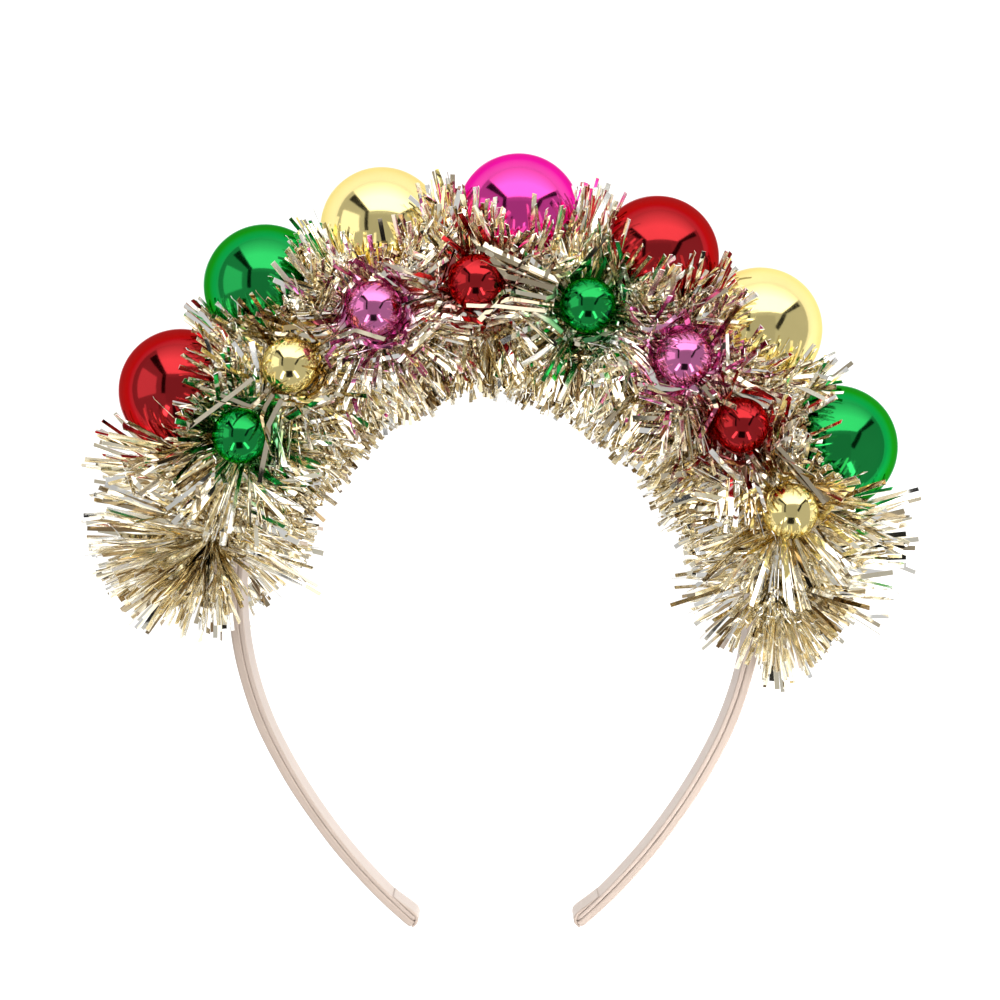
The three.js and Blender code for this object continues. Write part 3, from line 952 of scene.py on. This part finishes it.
class HEADBAND_OT_add_posts(bpy.types.Operator):
    """Add the posts that carry the balls"""

    bl_idname = "headband.add_posts"
    bl_label = "Add Posts"

    def execute(self, context):
        sizes = context.scene.headband_balls
        finish = post_finish("twisted_post", sizes.post)
        for row in BALL_ROWS:
            groups, nodes = [], []
            for k, (centre, radius) in enumerate(balls_of(row), 1):
                foot = post_seat(centre, row)
                head = centre + unit(foot - centre) * (radius + GAP / 2)
                groups.append(post_rings(foot, head, sizes.post_radius))
                nodes.append(f"stem_{row}_{k}")
            put(joined_tubes(f"ball_posts_{row}", groups), finish, "stem", *nodes)
        return {"FINISHED"}


# Tinsel: how a strip grows, and its skin


def core_places(angles):
    """Points on the tinsel's core at angles from the crown, and the ways out of and along the band there.

    Near the ends the core stands a little further out.
    """
    points, out, along = arch_places(angles * CROWN_RADIUS)
    bulge = np.interp(angles / DEGREE, *CORE_BULGE) * MM
    return points + out * (CORE_OUT + bulge)[:, None], out, along


def turned_way(out, along, turn, lean):
    """Ways off the core, turned round it from the way out towards the front, and leaning along it."""
    return swung(swung(out, UP, turn), along, lean)


def pressed(points, ways, balls):
    """Points moved out of the balls and the floor, with their ways turned along what they meet.

    A point inside a ball goes to the nearest place on it, and its way loses the part that leads further in.
    """
    for centre, radius in balls:
        away = points - centre
        normal = unit(away)
        met = np.linalg.norm(away, axis=-1, keepdims=True) < radius
        inward = np.minimum((ways * normal).sum(-1, keepdims=True), 0)
        points = np.where(met, centre + normal * radius, points)
        ways = np.where(met, ways - inward * normal, ways)
    low = points[:, 2:] < FLOOR_CLEAR
    points = np.where(low, points * IN_PLANE + UP * FLOOR_CLEAR, points)
    ways = np.where(low, ways * IN_PLANE, ways)
    return points, unit(ways)


def grown_paths(roots, ways, lengths, bends, kinks, balls):
    """Paths of strips that grow step by step: each step goes on along the strip's way, which bends a little.

    What a step meets turns it aside, and the strip then runs straight on from there. A kinked strip gets its
    turn at one of its steps.
    """
    step = (lengths / STRIP_STEPS)[:, None]
    points = roots
    path = [roots]
    for k in range(STRIP_STEPS):
        ways = unit(ways + bends / STRIP_STEPS + kinks[k])
        ahead, turned = pressed(points + ways * step, ways, balls)
        points, ways = pressed(points + unit(ahead - points) * step, turned, balls)
        path.append(points)
    return np.stack(path, 1)


def drawn_paths(sizes, draw, roots, ways, balls, share=1.0):
    """Grown paths whose length, bend and rare kink are drawn by chance, at a share of the usual length."""
    count = len(roots)
    lengths = share * (sizes.length + sizes.length_spread * draw.uniform(-1, 1, count))
    bends = draw.normal(0, sizes.bend, (count, 3))
    kinks = np.zeros((STRIP_STEPS, count, 3))
    at = draw.integers(KINK_FIRST, STRIP_STEPS, count)
    chosen = np.flatnonzero(draw.uniform(0, 1, count) < sizes.kinked)
    kinks[at[chosen], chosen] = draw.normal(0, KINK_TURN, (len(chosen), 3))
    return grown_paths(roots, ways, lengths, bends, kinks, balls)


def bent_paths(roots, elbows, tips):
    """Paths of strips along parabolas from a root to a tip, drawn towards an elbow."""
    t = np.linspace(0, 1, STRIP_STEPS + 1)[None, :, None]
    return (1 - t) ** 2 * roots[:, None] + 2 * t * (1 - t) * elbows[:, None] + t**2 * tips[:, None]


def strip_points(paths, across, twists, widths, thick):
    """Corners of flat strips: half the width and half the thickness to each side of each path point.

    The width's way is carried along the path, square to it, and turned a little more at each step.
    """
    ways = unit(np.gradient(paths, axis=1))
    wide = across
    rings = []
    for k in range(STRIP_STEPS + 1):
        way = ways[:, k]
        wide = unit(wide - (wide * way).sum(-1, keepdims=True) * way)
        wide = unit(swung(wide, np.cross(way, wide), twists / STRIP_STEPS))
        a = wide * (widths / 2)[:, None]
        b = np.cross(way, wide) * (thick / 2)
        rings.append(np.stack([a + b, b - a, -a - b, a - b], 1) + paths[:, k, None])
    return np.stack(rings, 1)


def strip_faces():
    """Corner numbers of one strip's quads, four a step and one at each end, and their map."""
    quads = tube_faces(STRIP_STEPS + 1, STRIP_SIDES)
    along = np.linspace(0, 1, STRIP_STEPS + 1)
    sides = np.arange(STRIP_SIDES)
    places = tube_map(sides, along)
    places[..., 1] -= np.tile(sides, STRIP_STEPS)[:, None]
    last = STRIP_POINTS - STRIP_SIDES
    ends = np.array([[0, 1, 2, 3], [last + 3, last + 2, last + 1, last]])
    edge = 1 / STRIP_STEPS
    end_places = np.array([
        [[0, 0], [edge, 0], [edge, 1], [0, 1]],
        [[1 - edge, 0], [1, 0], [1, 1], [1 - edge, 1]],
    ])
    return np.concatenate([quads, ends]), np.concatenate([places, end_places])


def strips_mesh(name, corners, tone, gloss, painted_reflections):
    """Mesh of many strips, each with its own cell on the map, crisp at its edges and smooth lengthwise."""
    count = len(corners)
    quads, places = strip_faces()
    points = corners.reshape(-1, 3)
    first_strip = points[:STRIP_POINTS]
    if volume_of(first_strip - first_strip.mean(0), quads) < 0:
        quads = quads[:, ::-1]
        places = places[:, ::-1]
    numbers = quads + (np.arange(count) * STRIP_POINTS)[:, None, None]
    mesh = new_mesh(name, points, numbers.reshape(-1, 4))
    grid = math.ceil(math.sqrt(count))
    cell = np.stack([np.arange(count) % grid, np.arange(count) // grid], -1)[:, None, None]
    add_map(mesh, BAKE_MAP, (cell + MAP_MARGIN + (1 - 2 * MAP_MARGIN) * places) / grid)
    for label, values in (("tone", tone), ("gloss", gloss)):
        layer = mesh.attributes.new(label, "FLOAT", "POINT")
        layer.data.foreach_set("value", np.repeat(values, STRIP_POINTS).astype(np.float32))
    # Painted reflections of the balls: a colour and its share at each point
    layer = mesh.attributes.new("tint", "FLOAT_COLOR", "POINT")
    layer.data.foreach_set("color", painted_reflections.astype(np.float32).ravel())
    ends = np.zeros(len(mesh.edges) * 2, np.int32)
    mesh.edges.foreach_get("vertices", ends)
    first_ring, second_ring = ends.reshape(-1, 2).T % STRIP_POINTS // STRIP_SIDES
    at_end = (first_ring == second_ring) & np.isin(first_ring, (0, STRIP_STEPS))
    layer = mesh.attributes.new("sharp_edge", "BOOLEAN", "EDGE")
    layer.data.foreach_set("value", (first_ring != second_ring) | at_end)
    return mesh


# Tinsel: the groups of strips, and their colour with painted reflections of the balls


def free_paths(sizes, draw, balls):
    """Strips all round the core, apart from the band's side, with only a few at the front."""
    count = sizes.free_count
    core, out, along = core_places(draw.uniform(TINSEL_FROM, TINSEL_TO, count))
    turn = draw.uniform(-FREE_TURN, FREE_TURN, count)
    most = LEAN_LIMIT * sizes.lean
    lean = np.clip(draw.normal(0, sizes.lean, count), -most, most)
    keep = (turn < FRONT_TURN) | (draw.uniform(0, 1, count) < FRONT_KEPT)
    ways = turned_way(out, along, turn, lean)[keep]
    return drawn_paths(sizes, draw, core[keep] + ways * CORE_RADIUS, ways, balls)


def rosette_paths(sizes, draw, balls):
    """Strips that a small ball presses aside: from just above the band they spread all round under the ball.

    On the side of the large balls, which hold them back, they are shorter.
    """
    count = sizes.rosette_count
    groups = []
    for centre, _ in balls_of("small"):
        flat = swung(ACROSS, CROWNWARD, draw.uniform(0, WHOLE_TURN, count))
        ways = swung(flat, UP, draw.uniform(*ROSETTE_RISE, count))
        roots = centre * IN_PLANE + UP * ROSETTE_FOOT + flat * CORE_RADIUS
        shorter = 1 - ROSETTE_SHORTER * np.maximum((flat * way_out(centre)).sum(-1), 0)
        groups.append(drawn_paths(sizes, draw, roots, ways, balls, ROSETTE_SIZE * shorter))
    return np.concatenate(groups)


def crossing_paths(sizes, draw, balls):
    """A few strips that come from beside one small ball and lie across the front of the next one."""
    small = balls_of("small")
    groups = []
    for here, there, count in CROSSINGS:
        centre, radius = small[here - 1]
        way = unit((small[there - 1][0] - centre) * IN_PLANE)
        side = np.cross(UP, way)
        swing = draw.uniform(-CROSSING_SWING, CROSSING_SWING, count)
        flat = swung(way, side, swing)
        ways = swung(flat, UP, draw.uniform(*CROSSING_RISE, count))
        lift = draw.uniform(*CROSSING_LIFT, count)[:, None]
        fan = CROSSING_FAN * np.sin(swing)[:, None]
        roots = centre + radius * (flat * CROSSING_ROOT + side * fan + UP * lift)
        groups.append(drawn_paths(sizes, draw, roots, ways, balls, CROSSING_SIZE))
    return np.concatenate(groups)


def by_end(outwards, values):
    """The first value for strips at the left end, whose outward sign is below zero, or else the second."""
    return np.where(outwards < 0, *values)


def end_paths(sizes, draw, balls):
    """Strips that fan out past both ends of the core, shorter along it and to its outer side."""
    count = 2 * sizes.end_count
    outwards = np.where(np.arange(count) < sizes.end_count, -1.0, 1.0)
    inset = draw.uniform(0, END_INSET, count)
    core, out, along = core_places(by_end(outwards, (TINSEL_FROM + inset, TINSEL_TO - inset)))
    turn = draw.uniform(-FREE_TURN, FREE_TURN, count)
    opening = END_OPEN * np.sqrt(draw.uniform(by_end(outwards, END_LEAST), 1))
    ways = turned_way(out, along * outwards[:, None], turn, QUARTER - opening)
    aside = np.maximum((ways * out).sum(-1) * outwards, 0)
    shorter = 1 - by_end(outwards, END_SHORTER) * np.cos(opening) - by_end(outwards, END_ASIDE) * aside
    return drawn_paths(sizes, draw, core + ways * CORE_RADIUS, ways, balls, shorter)


def inner_paths(sizes, draw):
    """Strips that come past the band's front or back edge and then point into the arch."""
    count = sizes.inner_count
    angle = draw.uniform(TINSEL_FROM, TINSEL_TO, count)
    core, out, along = core_places(angle)
    front = draw.uniform(0, 1, count) < INNER_FRONT
    side = np.where(front, 1.0, -1.0)
    drop = draw.uniform(*INNER_DROP, count)
    rise = draw.uniform(*INNER_RISE, count)
    reach = draw.uniform(*INNER_REACH, count) + np.interp(angle / DEGREE, *INNER_BULGE) * MM
    spread = draw.uniform(0, 1, count) * np.where(front, *INNER_SPREAD)
    slide = draw.normal(0, INNER_SLIDE, count)
    elbows = core - out * drop[:, None] + UP * (side * rise)[:, None]
    tips = core - out * reach[:, None] + UP * (side * (rise + spread - INNER_DIP))[:, None]
    return bent_paths(core, elbows, tips + along * slide[:, None])


def tuft_paths(sizes, draw, balls):
    """Longer strips that stand up between one large ball and the next."""
    large = balls_of("large")
    groups = []
    for here, count in TUFTS:
        middle = (large[here - 1][0] + large[here][0]) / 2 - ARCH_CENTRE
        gap = math.atan2(middle[0], middle[1])
        core, out, along = core_places(gap + draw.uniform(-TUFT_SPREAD, TUFT_SPREAD, count))
        turn = draw.uniform(*TUFT_TURN, count)
        ways = turned_way(out, along, turn, draw.uniform(-TUFT_SWING, TUFT_SWING, count))
        groups.append(drawn_paths(sizes, draw, core + ways * CORE_RADIUS, ways, balls, TUFT_SIZE))
    return np.concatenate(groups)


def leg_paths(draw):
    """Strips at the left end that come over the band's front edge and lie along the leg."""
    core, out, along = core_places(np.full(LEG_COUNT, TINSEL_FROM))
    inward = draw.uniform(*LEG_INWARD, LEG_COUNT)[:, None]
    reach = draw.uniform(*LEG_REACH, LEG_COUNT)[:, None]
    height = draw.uniform(*LEG_HEIGHT, LEG_COUNT)[:, None]
    elbows = core - out * inward / 2 + UP * height
    tips = core - out * inward - along * reach + UP * height
    return bent_paths(core, elbows, tips)


def all_paths(sizes, draw):
    """Paths of all strips in a mixed order, and which of them cross a small ball."""
    nests = balls_with_room(*BALL_ROOM)
    close = balls_with_room(*CROSSING_ROOM)
    groups = {
        "free": free_paths(sizes, draw, nests),
        "rosette": rosette_paths(sizes, draw, nests),
        "crossing": crossing_paths(sizes, draw, close),
        "end": end_paths(sizes, draw, nests),
        "inner": inner_paths(sizes, draw),
        "tuft": tuft_paths(sizes, draw, nests),
        "leg": leg_paths(draw),
    }
    crossing = np.concatenate([np.full(len(paths), name == "crossing") for name, paths in groups.items()])
    order = draw.permutation(len(crossing))
    return np.concatenate(list(groups.values()))[order], crossing[order]


def painted_ball_reflections(points, balls, colours, reach):
    """Painted reflection: the colour that foil takes from the nearest ball, with its nearness: 1 at the ball
    and 0 past a reach.

    A large ball stands back from the foil, so its painted reflection is taken from less far away.
    """
    nearness = np.zeros(points.shape[:-1])
    tint = np.zeros(points.shape)
    least = min(radius for _, radius in balls)
    for (centre, radius), colour in zip(balls, colours):
        own_reach = reach * (least / radius) ** 2
        near = np.clip(1 - (np.linalg.norm(points - centre, axis=-1) - radius) / own_reach, 0, 1)
        nearest = near > nearness
        nearness = np.where(nearest, near, nearness)
        tint = np.where(nearest[..., None], colour, tint)
    return tint, nearness


def painted_strip_reflections(sizes, lacquers, draw, corners, crossing):
    """Painted reflection at each corner of each strip, as a ball's colour and its share, with none on
    crossing strips.

    The nearness to a ball, times a number that each strip draws by chance, sets the share.
    """
    # A ball's lacquer is the colour of its painted reflection; beside a gold ball it is a darker brown,
    # painted reflection and painted shade
    painted_reflection_colours = {**{name: getattr(lacquers, name) for name in LACQUERS}, "gold": sizes.painted_gold_reflection_shade}
    colours = [painted_reflection_colours[colour] for row in BALL_ROWS.values() for colour in row]
    tint, nearness = painted_ball_reflections(corners, balls_with_room(0, 0), colours, sizes.painted_reflection_reach)
    taken = nearness * draw.uniform(0, PAINTED_REFLECTION_MOST, (len(corners), 1, 1))
    share = sizes.tint * np.clip((taken - PAINTED_REFLECTION_FROM) / (PAINTED_REFLECTION_FULL - PAINTED_REFLECTION_FROM), 0, 1)
    share = np.where(crossing[:, None, None], 0, share)
    return np.concatenate([tint, share[..., None]], -1)


class HEADBAND_OT_lay_tinsel(bpy.types.Operator):
    """Lay the tinsel garland along the arch"""

    bl_idname = "headband.lay_tinsel"
    bl_label = "Lay Tinsel"

    def execute(self, context):
        sizes = context.scene.headband_tinsel
        draw = np.random.default_rng(sizes.seed)
        paths, crossing = all_paths(sizes, draw)
        count = len(paths)
        across = draw.normal(0, 1, (count, 3))
        across[:, 2] *= np.where(crossing, CROSSING_WIDTH_UP, WIDTH_UP)
        twists = draw.uniform(-sizes.twist, sizes.twist, count)
        widths = sizes.width + sizes.width_spread * draw.uniform(-1, 1, count)
        corners = strip_points(paths, unit(across), twists, widths, sizes.foil_thick)
        tone = draw.uniform(0, 1, count)
        # Crossing strips take low tones: deep gold as painted shade that dims their reflection
        tone = np.where(crossing, np.interp(tone, (0, 1), CROSSING_PAINTED_SHADE_TONES), tone)
        gloss = draw.uniform(0, 1, count)
        # Painted reflections of the balls on the strips, drawn from their nearness
        painted_reflections = painted_strip_reflections(sizes, context.scene.headband_balls, draw, corners, crossing)
        finish = foil_finish("gold_foil", sizes)
        for k, start in enumerate(range(0, count, PIECE_STRIPS), 1):
            part = slice(start, start + PIECE_STRIPS)
            mesh = strips_mesh(f"tinsel_strips_{k}", corners[part], tone[part], gloss[part], painted_reflections[part])
            put(mesh, finish, "tinsel", "tinsel_garland")
        return {"FINISHED"}


# Stage


def light_panel(name, centre, turn, width, height, brightness):
    """Soft rectangular light: its power is its brightness times pi times its area."""
    light = bpy.data.lights.new(name, "AREA")
    light.shape = "RECTANGLE"
    light.size = width
    light.size_y = height
    light.energy = brightness * math.pi * width * height
    panel = add_object(name, light)
    panel.location = centre
    panel.rotation_euler = turn
    panel.visible_camera = False
    return panel


def put_on_stage(mesh, colour, glow):
    """Object of a stage mesh with a dull colour and a glow, which isn't part of the headband."""
    constants = {
        "Base Color": opaque(colour),
        "Roughness": STAGE_ROUGHNESS,
        "Specular IOR Level": 0.0,
        "Emission Color": WHITE,
        "Emission Strength": glow,
    }
    shader = Shader(mesh.name, constants)
    mesh.materials.append(shader.material)
    sheet = add_object(mesh.name, mesh)
    return sheet, shader


def stage_sheet(name, centre, right, up, glow, colour=BLACK):
    """Flat stage sheet with a glow, whose corners are half its width and half its height from its centre."""
    centre, right, up = np.array(centre), np.array(right), np.array(up)
    points = np.array([centre - right - up, centre + right - up, centre + right + up, centre - right + up])
    return put_on_stage(new_mesh(name, points, np.array([[0, 1, 2, 3]]), (), False), colour, glow)


def room_dome(name):
    """Evenly lit room: half a sphere over the floor, with rings from the floor up and a cap at its top."""
    rows, columns = DOME_GRID
    rise = np.linspace(0, DOME_TOP, rows)[:, None]
    around = np.linspace(0, WHOLE_TURN, columns, endpoint=False)
    rings = swung(swung(ACROSS, CROWNWARD, around), UP, rise)
    top = np.arange(columns) + (rows - 1) * columns
    mesh = new_mesh(name, DOME_RADIUS * rings.reshape(-1, 3), tube_faces(rows, columns)[:, ::-1], [top])
    dome, shader = put_on_stage(mesh, BLACK, DOME_GLOW)
    shader.material.cycles.emission_sampling = "NONE"
    return dome


def soft_box(name):
    """Large soft light above the crown: a glowing sheet that is dimmer towards the floor over a height."""
    sheet, shader = stage_sheet(name, *SOFT_BOX)
    height = shader.part(shader.object_place(), "Z") / BOX_FADE
    level = height.math("MINIMUM", 1.0).math("MAXIMUM", 0.0)
    shader.set("Emission Color", shader.mix(level, BOX_DIM, WHITE))
    return sheet


def front_camera(settings):
    """Camera that looks straight at the front, with a lens that shows the field's width at its distance."""
    lens = bpy.data.cameras.new("front_camera")
    lens.lens = lens.sensor_width * settings.distance / settings.field
    camera = add_object("front_camera", lens)
    camera.location = ARCH_CENTRE + (settings.shift_x, settings.shift_y, settings.distance)
    return camera


class HEADBAND_OT_set_stage(bpy.types.Operator):
    """Set the floor, the soft light and the camera"""

    bl_idname = "headband.set_stage"
    bl_label = "Set Stage"

    def execute(self, context):
        scene = context.scene
        settings = scene.headband_stage
        scene.view_settings.view_transform = "Standard"
        scene.cycles.max_bounces = LIGHT_BOUNCES
        scene.cycles.glossy_bounces = LIGHT_BOUNCES
        scene.world = bpy.data.worlds.new("white_studio")
        scene.world.use_nodes = True
        scene.world.node_tree.nodes["Background"].inputs["Color"].default_value = WHITE
        stage_sheet("pale_floor", *FLOOR, FLOOR_GLOW, settings.floor_colour)
        lit = [room_dome("room_dome"), soft_box("soft_box"), stage_sheet("left_sheet", *LEFT_SHEET)[0]]
        cards = [stage_sheet(name, *places)[0] for name, places in CARDS.items()]
        for sheet in lit + cards:
            sheet.visible_camera = False
        for card in cards:
            card.visible_diffuse = False
            card.visible_shadow = False
        for name, places in BARS.items():
            light_panel(name, *places)
        light_panel("fill", *FILL).visible_glossy = False
        scene.camera = front_camera(settings)
        return {"FINISHED"}


class HEADBAND_PT_panel(bpy.types.Panel):
    """Steps that dress the headband, in order"""

    bl_idname = "HEADBAND_PT_panel"
    bl_label = "Bauble Headband"
    bl_space_type = "VIEW_3D"
    bl_region_type = "UI"
    bl_category = "Headband"

    def draw(self, context):
        for step in STEPS:
            self.layout.operator(step.bl_idname)


SETTINGS = {
    "headband_ribbon": RibbonSettings,
    "headband_tinsel": TinselSettings,
    "headband_balls": BallSettings,
    "headband_stage": StageSettings,
}
STEPS = (
    HEADBAND_OT_wrap_band,
    HEADBAND_OT_line_band,
    HEADBAND_OT_fold_tips,
    HEADBAND_OT_add_balls,
    HEADBAND_OT_add_posts,
    HEADBAND_OT_lay_tinsel,
    HEADBAND_OT_set_stage,
)
CLASSES = (*SETTINGS.values(), *STEPS, HEADBAND_PT_panel)


def register():
    for made in CLASSES:
        bpy.utils.register_class(made)
    for name, group in SETTINGS.items():
        setattr(bpy.types.Scene, name, bpy.props.PointerProperty(type=group))


def unregister():
    for name in SETTINGS:
        delattr(bpy.types.Scene, name)
    for made in reversed(CLASSES):
        bpy.utils.unregister_class(made)


def main():
    register()
    bpy.ops.headband.wrap_band()
    bpy.ops.headband.line_band()
    bpy.ops.headband.fold_tips()
    bpy.ops.headband.add_balls()
    bpy.ops.headband.add_posts()
    bpy.ops.headband.lay_tinsel()
    bpy.ops.headband.set_stage()


if __name__ == "__main__":
    main()
